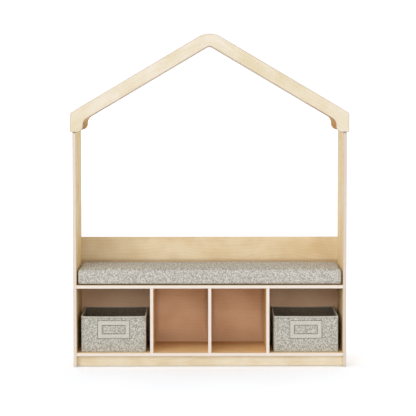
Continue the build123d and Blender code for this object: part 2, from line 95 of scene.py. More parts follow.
# ---------------------------------------------------------------- Shader graphs
class Graph:
    """A material's node tree, with short calls to add and join nodes."""

    def __init__(self, name):
        self.material = bpy.data.materials.new(name)
        self.material.use_nodes = True
        self.tree = self.material.node_tree
        self.shader = self.tree.nodes["Principled BSDF"]

    def add(self, kind, **settings):
        node = self.tree.nodes.new("ShaderNode" + kind)
        for key, value in settings.items():
            setattr(node, key, value)
        return node

    def join(self, source, target):
        """Links a socket to another, or sets a plain value."""
        if isinstance(source, bpy.types.NodeSocket):
            self.tree.links.new(source, target)
        else:
            target.default_value = source

    def math(self, operation, a, b=0.0, clamp=False):
        node = self.add("Math", operation=operation, use_clamp=clamp)
        self.join(a, node.inputs[0])
        self.join(b, node.inputs[1])
        return node.outputs[0]

    def plus(self, a, b, clamp=False):
        return self.math("ADD", a, b, clamp)

    def times(self, a, b):
        return self.math("MULTIPLY", a, b)

    def mix(self, factor, a, b, blend="MIX"):
        """Mixes two colours."""
        node = self.add("Mix", data_type="RGBA", blend_type=blend)
        self.join(factor, node.inputs[0])
        self.join(a, node.inputs[6])
        self.join(b, node.inputs[7])
        return node.outputs[2]

    def blend(self, factor, a, b):
        """Mixes two numbers."""
        node = self.add("Mix", data_type="FLOAT")
        self.join(factor, node.inputs[0])
        self.join(a, node.inputs[2])
        self.join(b, node.inputs[3])
        return node.outputs[0]

    def combine(self, x, y, z):
        node = self.add("CombineXYZ")
        for value, socket in zip((x, y, z), node.inputs):
            self.join(value, socket)
        return node.outputs[0]

    def stretched(self, places, scales):
        """A vector of places, each multiplied by its own scale."""
        return self.combine(*(self.times(place, scale) for place, scale in zip(places, scales)))

    def split(self, vector):
        node = self.add("SeparateXYZ")
        self.join(vector, node.inputs[0])
        return node.outputs

    def noise(self, vector, scale=1.0, detail=2.0, roughness=0.5, distortion=0.0):
        node = self.add("TexNoise")
        self.join(vector, node.inputs["Vector"])
        node.inputs["Scale"].default_value = scale
        node.inputs["Detail"].default_value = detail
        node.inputs["Roughness"].default_value = roughness
        node.inputs["Distortion"].default_value = distortion
        return node.outputs["Fac"]

    def remap(self, value, low, high, to_low=0.0, to_high=1.0, smooth=False):
        node = self.add("MapRange", interpolation_type="SMOOTHSTEP" if smooth else "LINEAR")
        node.clamp = True
        for source, socket in zip((value, low, high, to_low, to_high), node.inputs):
            self.join(source, socket)
        return node.outputs[0]

    def place(self):
        """Object coordinates, which stay on a piece when it moves, and the surface's direction."""
        node = self.add("TexCoord")
        return self.split(node.outputs["Object"]), self.split(node.outputs["Normal"])

    def bump(self, height, distance, strength=1.0):
        node = self.add("Bump")
        node.inputs["Strength"].default_value = strength
        node.inputs["Distance"].default_value = distance
        self.join(height, node.inputs["Height"])
        self.join(node.outputs[0], self.shader.inputs["Normal"])

    def finish(self, colour, roughness, specular=0.5):
        self.join(colour, self.shader.inputs["Base Color"])
        self.join(roughness, self.shader.inputs["Roughness"])
        self.shader.inputs["Specular IOR Level"].default_value = specular
        return self.material


def rgb(red, green, blue):
    """A colour from sRGB values of 0 to 255."""
    linear = [((v / 255 + 0.055) / 1.055) ** 2.4 if v > 10 else v / 255 / 12.92 for v in (red, green, blue)]
    return (*linear, 1.0)


# ---------------------------------------------------------------- Wood
X, Y, Z = 0, 1, 2
PLY_PITCH = 1.36 * MM
KNEE_TOP = 1.17
ROOF_PITCH = math.radians(30.6)
APEX_BEND = 45 * MM
CUBBY_FRONT = -0.06
CUBBY_REAR = 0.19
CUBBY_FLOOR = 0.065
DIVIDER_X = 0.264
KNEE_FADE = 40 * MM
# Painted shade in a band where the cushion's rear top edge meets the backrest
CUSHION_SHADE_HEIGHT = 0.447
CUSHION_SHADE_FADE_DOWN = (16 * MM, 5 * MM)
CUSHION_SHADE_FADE_UP = 18 * MM
# Painted shade in the cubbies' corners and low on their back
CUBBY_SHADE_FADE_SIDE = (7 * MM, 34 * MM)
CUBBY_SHADE_FADE_UP = 90 * MM
# How strong the two painted shades above are
PAINTED_SHADE_STRENGTH = 0.5
# How strong the painted shade along rounded arrises is, on the roof and on the other boards
ROOF_ARRIS_SHADE = 0.6
BOARD_ARRIS_SHADE = 0.4

# Features of the grain per metre: along it, across it and through the board
STREAK_SCALES = (1.3, 11.0, 1.0)
RING_WARP_SCALES = (2.2, 6.0, 1.0)
FIBRE_SCALES = (18.0, 900.0, 1.0)
FLECK_SCALES = (55.0, 520.0, 1.0)
PATCH_SCALES = (9.0, 9.0, 9.0)
END_GRAIN_SCALES = (1500.0, 1500.0, 1500.0)
RING_DENSITY = 420.0
RING_WARP = 52.0

PLY_EDGE = rgb(233, 227, 220)
# The left panel's edge is painted lighter and the right one's darker, as the key light falls from the left
LEFT_EDGE_LIT = rgb(221, 211, 202)
RIGHT_EDGE_SHADED = rgb(210, 200, 190)
GABLE_EDGE = rgb(222, 211, 204)
PLY_LINE = rgb(204, 176, 150)
# Painted shade along rounded arrises
ARRIS_SHADE = rgb(172, 146, 130)
FLECK = rgb(176, 128, 84)
# Painted shade colours: the band behind the cushion, and the cubbies' corners and low back
CUSHION_SHADE = rgb(152, 112, 72)
CUBBY_SHADE = rgb(168, 126, 92)


def wood_grain(g, along, across, depth):
    """The veneer's tone, its fine fibres and its short dark flecks, from places along and across it."""
    places = (along, across, depth)
    streaks = g.noise(g.stretched(places, STREAK_SCALES), 1.0, 3.0, 0.55, 0.3)
    ring_warp = g.noise(g.stretched(places, RING_WARP_SCALES))
    rings = g.plus(g.times(across, RING_DENSITY), g.times(ring_warp, RING_WARP))
    ring_line = g.remap(g.math("SINE", rings), 0.35, 1.0, smooth=True)
    fibre = g.noise(g.stretched(places, FIBRE_SCALES), 1.0, 2.0, 0.6)
    fleck = g.remap(g.noise(g.stretched(places, FLECK_SCALES), 1.0, 1.0), 0.69, 0.76)
    patch = g.noise(g.stretched(places, PATCH_SCALES), 1.0, 2.0, 0.5)
    tone = g.plus(g.remap(streaks, 0.3, 0.72, 0.0, 0.6), g.times(ring_line, 0.20))
    tone = g.plus(tone, g.remap(patch, 0.38, 0.66, -0.10, 0.40))
    tone = g.plus(tone, g.remap(fibre, 0.3, 0.7, -0.12, 0.16), clamp=True)
    return tone, fibre, fleck


def cushion_shade_mark(g, place):
    """How much painted shade lies on a board in a band where the cushion's rear top edge meets it, from 0 to
    1.
    """
    far, near = CUSHION_SHADE_FADE_DOWN
    above = g.remap(place[Z], CUSHION_SHADE_HEIGHT, CUSHION_SHADE_HEIGHT + CUSHION_SHADE_FADE_UP, 1.0, 0.0, smooth=True)
    below = g.remap(place[Z], CUSHION_SHADE_HEIGHT - far, CUSHION_SHADE_HEIGHT - near, smooth=True)
    return g.times(above, below)


def cubby_shade_mark(g, place):
    """How much painted shade lies in the corners of the cubbies and low on their back, from 0 to 1."""
    from_middle = g.math("ABSOLUTE", place[X])
    from_divider = g.math("ABSOLUTE", g.math("SUBTRACT", from_middle, DIVIDER_X))
    corner = g.remap(g.math("MINIMUM", from_middle, from_divider), *CUBBY_SHADE_FADE_SIDE, 1.0, 0.0, smooth=True)
    low_down = g.remap(place[Z], CUBBY_FLOOR, CUBBY_FLOOR + CUBBY_SHADE_FADE_UP, 0.7, 0.0, smooth=True)
    return g.math("MAXIMUM", corner, low_down)


def plywood(name, thick, grain, pale, warm, inner_shade=None, shade_cord=PLY_EDGE, roof=False, rear_shade=None, shade_mark=None):
    """Birch plywood: faces with a faint grain along one axis, and plies on every edge.

    thick and grain are axes; the third axis runs across the grain. The inner shade colours are painted on
    the face that looks towards the middle of the bench, a warmer painted shade for the inside of the bench.
    On a roof the grain follows the rafters round the apex, and only the knees have this painted shade. The
    rear shade colour is painted shade, mixed in more towards the rear of the cubbies. The shade mark picks
    painted shade on the front face: a band where the cushion meets the board, or the corners and low back
    of the cubbies."""
    g = Graph(name)
    place, direction = g.place()
    along, across, depth = place[grain], place[3 - thick - grain], place[thick]
    if roof:
        bent = g.math("SQRT", g.plus(g.times(place[X], place[X]), APEX_BEND**2))
        across = g.plus(g.times(bent, math.sin(ROOF_PITCH)), g.times(place[Z], math.cos(ROOF_PITCH)))
    tone, fibre, fleck = wood_grain(g, along, across, depth)

    face = g.mix(tone, pale, warm)
    # Painted shade: a warmer tone on the face towards the middle of the bench; on a roof only at the knees
    if inner_shade:
        looks_in = g.math("LESS_THAN", g.times(direction[thick], depth), 0.0)
        if roof:
            above = g.remap(place[Z], KNEE_TOP, KNEE_TOP + KNEE_FADE, smooth=True)
            looks_in = g.times(looks_in, g.math("SUBTRACT", 1.0, above))
        face = g.mix(looks_in, face, g.mix(tone, *inner_shade))
    # Painted shade on front faces: a band where the cushion meets the backrest, or the cubbies' corners and
    # low back
    if shade_mark:
        mark, tint = (cushion_shade_mark, CUSHION_SHADE) if shade_mark == "cushion_shade" else (cubby_shade_mark, CUBBY_SHADE)
        faces_front = g.math("LESS_THAN", direction[thick], 0.0)
        face = g.mix(g.times(g.times(faces_front, mark(g, place)), PAINTED_SHADE_STRENGTH), face, tint)
    # Painted shade, darker towards the rear of the cubbies
    if rear_shade:
        to_rear = g.remap(place[Y], CUBBY_FRONT, CUBBY_REAR, 0.0, 0.6, smooth=True)
        face = g.mix(to_rear, face, rear_shade)
    face = g.mix(g.times(fleck, 0.30), face, FLECK)

    # Edges: thin plies across the thickness, with the end grain's speckle
    ply = g.math("SINE", g.times(depth, math.pi / PLY_PITCH))
    speckle = g.noise(g.stretched(place, END_GRAIN_SCALES), 1.0, 1.0)
    ply_tone = g.plus(g.remap(ply, -0.5, 0.5, 0.0, 0.30, smooth=True), g.times(speckle, 0.25))
    side = g.mix(ply_tone, shade_cord, PLY_LINE)

    # The rounded arris between the two is painted darker, a painted shade line along each rounded edge
    upright = g.math("ABSOLUTE", direction[thick])
    is_face = g.remap(upright, 0.80, 0.92)
    arris = g.times(g.remap(upright, 0.12, 0.45), g.remap(upright, 0.995, 0.93))
    colour = g.mix(is_face, side, face)
    colour = g.mix(g.times(arris, ROOF_ARRIS_SHADE if roof else BOARD_ARRIS_SHADE), colour, ARRIS_SHADE)
    rough = g.blend(is_face, 0.65, g.remap(fibre, 0.3, 0.7, 0.50, 0.62))
    face_relief = g.plus(fibre, g.times(fleck, -0.6))
    g.bump(g.blend(is_face, g.times(ply, 0.5), face_relief), 0.06 * MM, 0.6)
    return g.finish(colour, rough, 0.12)


# ---------------------------------------------------------------- Cloth
# Painted shade on the seat cushion's top, which is darker than its sides
SEAT_TOP_SHADE = rgb(248, 241, 226)
# Dark cloth at the very bottom of the cushion, painted shade for the gap under it
UNDER_CUSHION_SHADE = rgb(74, 66, 56)
SEAT_BASE = 0.3790

# Features of the cloth: tones jump from thread to thread, and the rest is per metre
THREAD_TONES_APART = 7.31
THREAD_CHANGE = 95.0
SLUB_UP_SCALES = (240.0, 130.0, 1.0)
SLUB_ACROSS_SCALES = (105.0, 250.0, 1.0)
FUZZ_SCALES = (3000.0, 3000.0, 1.0)
SEAT_SLUB_STRETCH = 0.65


def flat_place(g):
    """Two coordinates that lie in the surface, picked by the way it faces."""
    place, direction = g.place()
    faces_x = g.remap(g.math("ABSOLUTE", direction[X]), 0.70, 0.71)
    faces_z = g.remap(g.math("ABSOLUTE", direction[Z]), 0.70, 0.71)
    u = g.blend(faces_x, place[X], place[Y])
    v = g.blend(faces_z, place[Z], place[Y])
    return u, v, place, faces_z


def woven(name, light, dark, pitch=1.7 * MM, blotch=0.5, seat=False):
    """Plain-weave heather cloth: every thread has its own tone, with slubs along it.

    blotch is the share of the slubs in the tone. On the seat the slubs on top run from front to rear, the
    top is painted darker, with more painted shade towards the rear, and a dark cloth at the very bottom is
    painted shade for the gap under the cushion."""
    g = Graph(name)
    u, v, place, faces_z = flat_place(g)
    cell_u = g.math("DIVIDE", u, pitch)
    cell_v = g.math("DIVIDE", v, pitch)
    column = g.math("FLOOR", cell_u)
    row = g.math("FLOOR", cell_v)
    over = g.math("ABSOLUTE", g.math("MODULO", g.plus(column, row), 2.0))
    thread_u = g.math("ABSOLUTE", g.math("SINE", g.times(cell_u, math.pi)))
    thread_v = g.math("ABSOLUTE", g.math("SINE", g.times(cell_v, math.pi)))
    height = g.blend(over, thread_v, thread_u)

    # A thread's tone stays along it and jumps to the next one. Here and below, the plain third number of
    # each place only picks another slice of the noise.
    warp = g.noise(g.stretched((column, v, 3.1), (THREAD_TONES_APART, THREAD_CHANGE, 1.0)), 1.0, 2.0, 0.6)
    weft = g.noise(g.stretched((u, row, 8.7), (THREAD_CHANGE, THREAD_TONES_APART, 1.0)), 1.0, 2.0, 0.6)
    thread = g.remap(g.blend(over, weft, warp), 0.28, 0.72)

    # Slubs: the speckle of the melange, a few threads wide
    slub_v = v
    if seat:
        slub_v = g.times(v, g.math("SUBTRACT", 1.0, g.times(faces_z, SEAT_SLUB_STRETCH)))
    slub_up = g.noise(g.stretched((u, slub_v, 2.3), SLUB_UP_SCALES), 1.0, 1.0)
    slub_across = g.noise(g.stretched((u, slub_v, 6.1), SLUB_ACROSS_SCALES), 1.0, 1.0)
    slub = g.remap(g.plus(slub_up, g.times(slub_across, 0.7)), 0.66, 1.04)

    tone = g.plus(g.times(thread, 1.0 - blotch), g.times(slub, blotch))
    groove = g.remap(height, 0.0, 0.45, 0.35, 0.0)
    tone = g.math("SUBTRACT", tone, groove, clamp=True)
    if seat:
        tone = g.blend(faces_z, tone, g.remap(tone, 0.12, 0.85))
    colour = g.mix(tone, dark, light)
    # Painted shade on the seat: a darker top and more shade towards the rear
    if seat:
        colour = g.mix(g.times(faces_z, 0.6), colour, SEAT_TOP_SHADE, "MULTIPLY")
        to_rear = g.times(faces_z, g.remap(place[Y], 0.09, 0.19, 0.0, 0.35, smooth=True))
        colour = g.mix(to_rear, colour, dark)
        # Painted shade: dark cloth at the very bottom, for the gap under the cushion
        colour = g.mix(g.remap(place[Z], SEAT_BASE, SEAT_BASE + 1 * MM, 1.0, 0.0), colour, UNDER_CUSHION_SHADE)
    fuzz = g.noise(g.stretched((u, v, place[Z]), FUZZ_SCALES), 1.0, 2.0)
    g.bump(g.plus(height, g.times(fuzz, 0.35)), 0.35 * MM, 0.8)
    g.shader.inputs["Sheen Weight"].default_value = 0.15
    g.shader.inputs["Sheen Roughness"].default_value = 0.5
    return g.finish(colour, 0.85, 0.15)


# ---------------------------------------------------------------- Metal, plastic, board, foam
TARNISH = rgb(120, 118, 112)
ZIP_PITCH = 1.6 * MM
ZIP_WEAVE = 0.9 * MM


def metal(name, colour, rough):
    """Plated metal with a fine grain and a faint tarnish."""
    g = Graph(name)
    place, _ = g.place()
    grain = g.noise(g.stretched(place, (900.0,) * 3), 1.0, 3.0)
    stain = g.noise(g.stretched(place, (120.0,) * 3), 1.0, 2.0)
    tint = g.mix(g.remap(stain, 0.35, 0.7, 0.0, 0.35), colour, TARNISH)
    g.shader.inputs["Metallic"].default_value = 1.0
    g.bump(grain, 0.02 * MM, 0.5)
    return g.finish(tint, g.remap(grain, 0.3, 0.7, rough - 0.08, rough + 0.1))


def speckled(name, light, dark, scale, rough, depth=0.05 * MM):
    """A matt material with a fine, even speckle, such as foam, grey board or moulded nylon."""
    g = Graph(name)
    place, _ = g.place()
    fine = g.noise(g.stretched(place, (scale,) * 3), 1.0, 3.0, 0.6)
    slow = g.noise(g.stretched(place, (scale / 12,) * 3), 1.0, 2.0)
    tone = g.plus(g.remap(fine, 0.3, 0.7, 0.0, 0.6), g.remap(slow, 0.3, 0.7, 0.0, 0.4), clamp=True)
    g.bump(fine, depth, 0.7)
    return g.finish(g.mix(tone, dark, light), rough, 0.3)


def zip_teeth(name, dark, light):
    """A woven tape with a coil of small teeth along its middle."""
    g = Graph(name)
    place, _ = g.place()
    teeth = g.math("SINE", g.times(place[X], 2 * math.pi / ZIP_PITCH))
    weave = g.math("SINE", g.times(place[Z], 2 * math.pi / ZIP_WEAVE))
    tone = g.plus(g.remap(teeth, -1, 1, 0.0, 0.5), g.remap(weave, -1, 1, 0.0, 0.3))
    g.bump(g.plus(teeth, g.times(weave, 0.4)), 0.25 * MM, 0.8)
    return g.finish(g.mix(tone, dark, light), 0.6, 0.3)


GABLE_PALE = rgb(226, 216, 200)
GABLE_WARM = rgb(211, 196, 160)
PANEL_PALE = rgb(226, 208, 176)
PANEL_WARM = rgb(214, 190, 150)
# Painted shade at the rear gable's knees, behind the front gable
KNEE_SHADE = (rgb(202, 164, 114), rgb(184, 142, 92))
# Painted shade on the inner faces: warmer tones towards the middle of the bench; the right panel's inside is
# painted lighter than the left's, as the key light falls from the left
LEFT_INNER_SHADE = (rgb(246, 224, 174), rgb(234, 200, 140))
BACK_INNER_SHADE = (rgb(238, 203, 171), rgb(224, 182, 143))
RIGHT_INNER_SHADE = (rgb(246, 228, 188), rgb(236, 206, 154))
looks = {
    "gable": plywood("ply_gable", Y, X, GABLE_PALE, GABLE_WARM, shade_cord=GABLE_EDGE, roof=True),
    "rear_gable": plywood("ply_rear_gable_knee_shade", Y, X, GABLE_PALE, GABLE_WARM, KNEE_SHADE, GABLE_EDGE, roof=True),
    "cross": plywood("ply_cross", Y, X, rgb(228, 211, 180), rgb(211, 185, 143), shade_mark="cushion_shade"),
    "kick": plywood("ply_kick", Y, X, rgb(226, 216, 195), rgb(209, 191, 157)),
    "left_panel": plywood("ply_left_panel", X, Z, PANEL_PALE, PANEL_WARM, LEFT_INNER_SHADE, LEFT_EDGE_LIT),
    "right_panel": plywood("ply_right_panel", X, Z, PANEL_PALE, PANEL_WARM, RIGHT_INNER_SHADE, RIGHT_EDGE_SHADED),
    "divider": plywood("ply_divider", X, Z, rgb(238, 206, 152), rgb(224, 180, 120)),
    "level": plywood("ply_level", Z, X, rgb(248, 220, 172), rgb(240, 202, 146), rear_shade=rgb(160, 110, 68)),
    "tie": plywood("ply_tie", X, Y, rgb(226, 206, 170), rgb(212, 184, 140)),
    "back": plywood("ply_back", Y, X, rgb(222, 202, 170), rgb(206, 178, 140), BACK_INNER_SHADE, shade_mark="cubby_shade"),
    "cushion": woven("cushion_cloth", rgb(229, 226, 218), rgb(130, 124, 114), blotch=0.6, seat=True),
    "bin": woven("bin_cloth", rgb(226, 224, 214), rgb(123, 118, 108), pitch=1.5 * MM, blotch=0.6),
    "lining": woven("lining_cloth", rgb(136, 126, 108), rgb(94, 85, 70), pitch=1.1 * MM, blotch=0.4),
    "binding": woven("binding_tape", rgb(216, 212, 200), rgb(176, 171, 158), pitch=0.9 * MM, blotch=0.3),
    "label": woven("label_cloth", rgb(218, 215, 206), rgb(184, 180, 168), pitch=0.9 * MM, blotch=0.35),
    "cam": metal("zinc_cast", rgb(176, 176, 172), 0.45),
    "steel": metal("zinc_plated_steel", rgb(190, 190, 188), 0.32),
    "dowel": speckled("beech_dowel", rgb(214, 176, 128), rgb(186, 142, 94), 900.0, 0.6),
    "glide": speckled("nylon", rgb(226, 223, 212), rgb(206, 203, 192), 500.0, 0.5),
    "foam": speckled("foam", rgb(238, 232, 206), rgb(212, 204, 172), 700.0, 0.95, 0.4 * MM),
    "board": speckled("grey_board", rgb(176, 164, 146), rgb(146, 134, 116), 800.0, 0.9),
    "zip": zip_teeth("zip_tape", rgb(92, 90, 84), rgb(140, 137, 128)),
    "cushion_thread": speckled("cushion_thread", rgb(196, 190, 178), rgb(150, 144, 132), 1500.0, 0.8),
    "bin_thread": speckled("dark_thread", rgb(104, 99, 90), rgb(72, 68, 60), 1500.0, 0.8),
    "label_thread": speckled("pale_thread", rgb(206, 202, 190), rgb(160, 155, 142), 1500.0, 0.8),
}

node_looks = {
    "left_side_panel": "left_panel",
    "right_side_panel": "right_panel",
    "left_divider": "divider",
    "centre_divider": "divider",
    "right_divider": "divider",
    "seat_board": "level",
    "bottom_board": "level",
    "cubby_back_panel": "back",
    "backrest_board": "cross",
    "front_toe_kick": "kick",
    "rear_plinth": "cross",
    "centre_support": "tie",
    "front_gable": "gable",
    "rear_gable": "rear_gable",
    "ridge_rail": "tie",
    "cam_locks": "cam",
    "cam_bolts": "steel",
    "confirmat_screws": "steel",
    "wooden_dowels": "dowel",
    "floor_glides": "glide",
    "cushion_cover": "cushion",
    "cushion_foam": "foam",
    "cushion_zip": "zip",
    "zip_slider": "steel",
}
for side in ("left", "right"):
    node_looks[f"{side}_bin_cover"] = "bin"
    node_looks[f"{side}_bin_lining"] = "lining"
    node_looks[f"{side}_bin_stiffeners"] = "board"
    node_looks[f"{side}_bin_base_board"] = "lining"
    node_looks[f"{side}_bin_rim_binding"] = "binding"
    node_looks[f"{side}_bin_label_frame"] = "label"
for node_name, look in node_looks.items():
    slots = nodes[node_name].data.materials
    slots.clear()
    slots.append(looks[look])


# ---------------------------------------------------------------- Mesh helpers
ARC_STEPS = 6
CORD_SIDES = 8
STITCH_SIDES = 6
STITCH_PROFILE = ((0.10, 0.72), (0.3, 1.0), (0.7, 1.0), (0.90, 0.72))


def link_piece(name, mesh, look):
    """A new object for a mesh, with its look."""
    mesh.materials.append(looks[look])
    piece = bpy.data.objects.new(name, mesh)
    scene.collection.objects.link(piece)
    return piece


def new_piece(name, points, faces, look):
    mesh = bpy.data.meshes.new(name)
    mesh.from_pydata([tuple(p) for p in points], [], faces)
    mesh.update()
    mesh.shade_smooth()
    return link_piece(name, mesh, look)


def dress(piece, body, slot, *replaced):
    """Puts a piece on its body, in place of any CAD nodes named; its slot is not used."""
    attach(piece, body)
    if replaced:
        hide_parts(*replaced)


def round_rectangle(width, depth, radius, runs_x, runs_y):
    """Points round a rectangle with rounded corners, counter-clockwise, with their outward directions."""
    loop = []
    corners = ((1, 1, runs_x), (-1, 1, runs_y), (-1, -1, runs_x), (1, -1, runs_y))
    for turn, (sign_x, sign_y, runs) in enumerate(corners):
        centre = Vector((sign_x * (width / 2 - radius), sign_y * (depth / 2 - radius)))
        for step in range(ARC_STEPS + 1):
            angle = math.radians(90 * (turn + step / ARC_STEPS))
            outward = Vector((math.cos(angle), math.sin(angle)))
            loop.append((centre + radius * outward, outward))
        next_x, next_y, _ = corners[(turn + 1) % 4]
        next_centre = Vector((next_x * (width / 2 - radius), next_y * (depth / 2 - radius)))
        for step in range(1, runs):
            loop.append((centre.lerp(next_centre, step / runs) + radius * outward, outward))
    return loop


def loft(rings, cap_first=False, cap_last=False, close=False):
    """Points and faces of a surface through rings that have equal counts of points."""
    count = len(rings[0])
    points = [point for ring in rings for point in ring]
    faces = []
    last = len(rings) if close else len(rings) - 1
    for r in range(last):
        low, high = r * count, (r + 1) % len(rings) * count
        for i in range(count):
            j = (i + 1) % count
            faces.append((low + i, low + j, high + j, high + i))
    if cap_first:
        faces.append(tuple(reversed(range(count))))
    if cap_last:
        faces.append(tuple(range(len(points) - count, len(points))))
    return points, faces


def merge(parts):
    """Points and faces of several parts as one."""
    points, faces = [], []
    for more_points, more_faces in parts:
        base = len(points)
        points += more_points
        faces += [tuple(base + i for i in face) for face in more_faces]
    return points, faces


def circle(middle, radius, first, second, sides):
    """Points round a middle, in the plane of two directions."""
    angles = [2 * math.pi * s / sides for s in range(sides)]
    return [middle + radius * (math.cos(a) * first + math.sin(a) * second) for a in angles]


def tube(route, radius):
    """A closed round cord along a loop of (point, normal) pairs."""
    rings = []
    for i, (point, normal) in enumerate(route):
        along = (route[(i + 1) % len(route)][0] - route[i - 1][0]).normalized()
        out = (normal - normal.dot(along) * along).normalized()
        rings.append(circle(point, radius, out, along.cross(out), CORD_SIDES))
    return loft(rings, close=True)


def stitch_row(route, length, gap, radius):
    """Separate stitches, each a small flattened capsule, round a loop of (point, normal) pairs."""
    stops = [0.0]
    pairs = route + route[:1]
    for (a, _), (b, _) in zip(pairs, pairs[1:]):
        stops.append(stops[-1] + (b - a).length)
    count = max(1, int(stops[-1] / (length + gap)))
    pitch = stops[-1] / count

    def spot(distance):
        k = bisect.bisect_right(stops, distance) - 1
        k = min(max(k, 0), len(pairs) - 2)
        share = (distance - stops[k]) / max(stops[k + 1] - stops[k], 1e-9)
        (point_a, normal_a), (point_b, normal_b) = pairs[k], pairs[k + 1]
        return point_a.lerp(point_b, share), normal_a.lerp(normal_b, share).normalized()

    stitches = []
    for n in range(count):
        start, normal_a = spot(n * pitch)
        end, normal_b = spot(n * pitch + length)
        normal = (normal_a + normal_b).normalized()
        across = (end - start).normalized().cross(normal)
        rings = []
        for share, size in STITCH_PROFILE:
            middle = start.lerp(end, share) + normal * radius * 0.35 * math.sin(math.pi * share)
            rings.append(circle(middle, radius * size, across, 0.7 * normal, STITCH_SIDES))
        stitches.append(loft(rings, cap_first=True, cap_last=True))
    return merge(stitches)


def smooth_step(value, low, high):
    """0 at low, 1 at high, with an even change between; high may be the lower number."""
    share = min(max((value - low) / (high - low), 0.0), 1.0)
    return share * share * (3 - 2 * share)


# ---------------------------------------------------------------- Cushion
CUSHION_VOXEL = 5.5 * MM
CUSHION_EDGE = 7 * MM
CUSHION_SHRINK = Vector((1.2, 2.5, 3.0)) * MM
CUSHION_PRESSURE = 4.0
CUSHION_FRAMES = 20
CUSHION_CAP = 7 * MM
SIDE_GIVE = (1.2 * MM, 2.4 * MM)
TOP_GIVE = (0.5 * MM, 3.0 * MM)
FIRMNESS = (SIDE_GIVE, SIDE_GIVE, TOP_GIVE)
CROWN = 4.0 * MM
DENTS = 1.4 * MM
FOLDS = 0.6 * MM
REAR_DROP = 9.0 * MM
BOTTOM_TUCK = 3.0 * MM
TUCK_FADE_UP = (1 * MM, 8 * MM)
TUCK_FADE_SIDE = (16 * MM, 6 * MM)
REAR_BAND = 12 * MM
ZIP_FADE_X = (30 * MM, 4 * MM)
ZIP_FADE_Z = (26 * MM, 15 * MM)
LIFT_OFF_SEAT = 0.2 * MM
CUSHION_STITCH = (5.0 * MM, 2.0 * MM, 0.45 * MM)
WELT_RADIUS = 0.8 * MM
TOP_WELT_DROP = 2.5 * MM
BOTTOM_WELT_RISE = 6.5 * MM
STITCH_FROM_WELT = 4.5 * MM
SEAM_CORNER = 16 * MM
SEAM_RUNS = (150, 46)
WELT_SUNK = 0.3 * MM
STITCH_SUNK = 0.1 * MM
FOAM_INSET = Vector((9.0, 9.0, 9.0)) * MM
FOAM_CELLS = 0.6 * MM


def simulate_pressure(piece, pressure, frames):
    """Puffs a closed mesh with cloth, and gives the new places of its points."""
    cloth = piece.modifiers.new("cloth", "CLOTH")
    cloth.settings.quality = 6
    cloth.settings.mass = 0.3
    cloth.settings.tension_stiffness = 18
    cloth.settings.compression_stiffness = 18
    cloth.settings.shear_stiffness = 6
    cloth.settings.bending_stiffness = 0.6
    cloth.settings.use_pressure = True
    cloth.settings.uniform_pressure_force = pressure
    cloth.settings.effector_weights.gravity = 0
    cloth.point_cache.frame_end = frames
    for step in range(1, frames + 1):
        scene.frame_set(step)
    shaped = piece.evaluated_get(bpy.context.evaluated_depsgraph_get())
    places = [v.co.copy() for v in shaped.data.vertices]
    piece.modifiers.remove(cloth)
    scene.frame_set(1)
    return places


def apply_modifiers(piece):
    shaped = piece.evaluated_get(bpy.context.evaluated_depsgraph_get())
    mesh = bpy.data.meshes.new_from_object(shaped)
    piece.modifiers.clear()
    piece.data = mesh


def rounded_block(name, node, inset, voxel, look):
    """A block with rounded edges, a little smaller than a CAD node's box, in small even faces."""
    low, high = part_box(node)
    middle = (low + high) / 2
    half = (high - low) / 2 - inset
    block = bmesh.new()
    bmesh.ops.create_cube(block, size=2.0)
    for v in block.verts:
        v.co = middle + Vector(v.co[k] * half[k] for k in range(3))
    bmesh.ops.bevel(block, geom=block.edges[:], offset=CUSHION_EDGE, segments=5, profile=0.5, affect="EDGES")
    mesh = bpy.data.meshes.new(name)
    block.to_mesh(mesh)
    block.free()
    piece = link_piece(name, mesh, look)
    remesh = piece.modifiers.new("remesh", "REMESH")
    remesh.mode = "VOXEL"
    remesh.voxel_size = voxel
    apply_modifiers(piece)
    return piece


def hold_by_foam(move, share):
    """A puffed point's move, cut down where the firm foam holds the cover close to its own shape."""
    if move.length > CUSHION_CAP:
        move *= CUSHION_CAP / move.length
    for k, (inward, outward) in enumerate(FIRMNESS):
        side = math.copysign(1, share[k])
        held = smooth_step(abs(share[k]), 0.55, 0.9)
        limits = (-inward * side, outward * side)
        capped = min(max(move[k], min(limits)), max(limits))
        move[k] += (capped - move[k]) * held
    return move


def settle(place, share, low, high):
    """A point of the cover after use: a crowned top with dents, a lower rear edge and a tucked bottom."""
    top = smooth_step(share.z, 0.5, 0.95)
    dents = noise.noise(Vector((place.x * 5.0, place.y * 9.0, 3.7))) * DENTS
    crown = CROWN * (1 - abs(share.x) ** 16) * (1 - abs(share.y) ** 8)
    place.z += (crown + dents * (1 - share.y**4)) * top
    place.z -= REAR_DROP * smooth_step(share.y, 0.80, 1.0) ** 2 * top
    tuck = BOTTOM_TUCK * smooth_step(place.z - low.z, TUCK_FADE_UP[1], TUCK_FADE_UP[0])
    for k in (X, Y):
        half = (high[k] - low[k]) / 2
        near_side = smooth_step(half - abs(share[k]) * half, *TUCK_FADE_SIDE)
        place[k] -= math.copysign(tuck, share[k]) * near_side
    folds = noise.noise(Vector((place.x * 14.0, place.z * 20.0, 9.1))) * FOLDS
    place.y += folds * smooth_step(abs(share.y), 0.8, 0.95)
    place.x = min(max(place.x, low.x), high.x)
    place.y = min(max(place.y, low.y - 2 * MM), high.y - 0.1 * MM)
    place.z = min(max(place.z, low.z + LIFT_OFF_SEAT), high.z + CROWN)
    return place


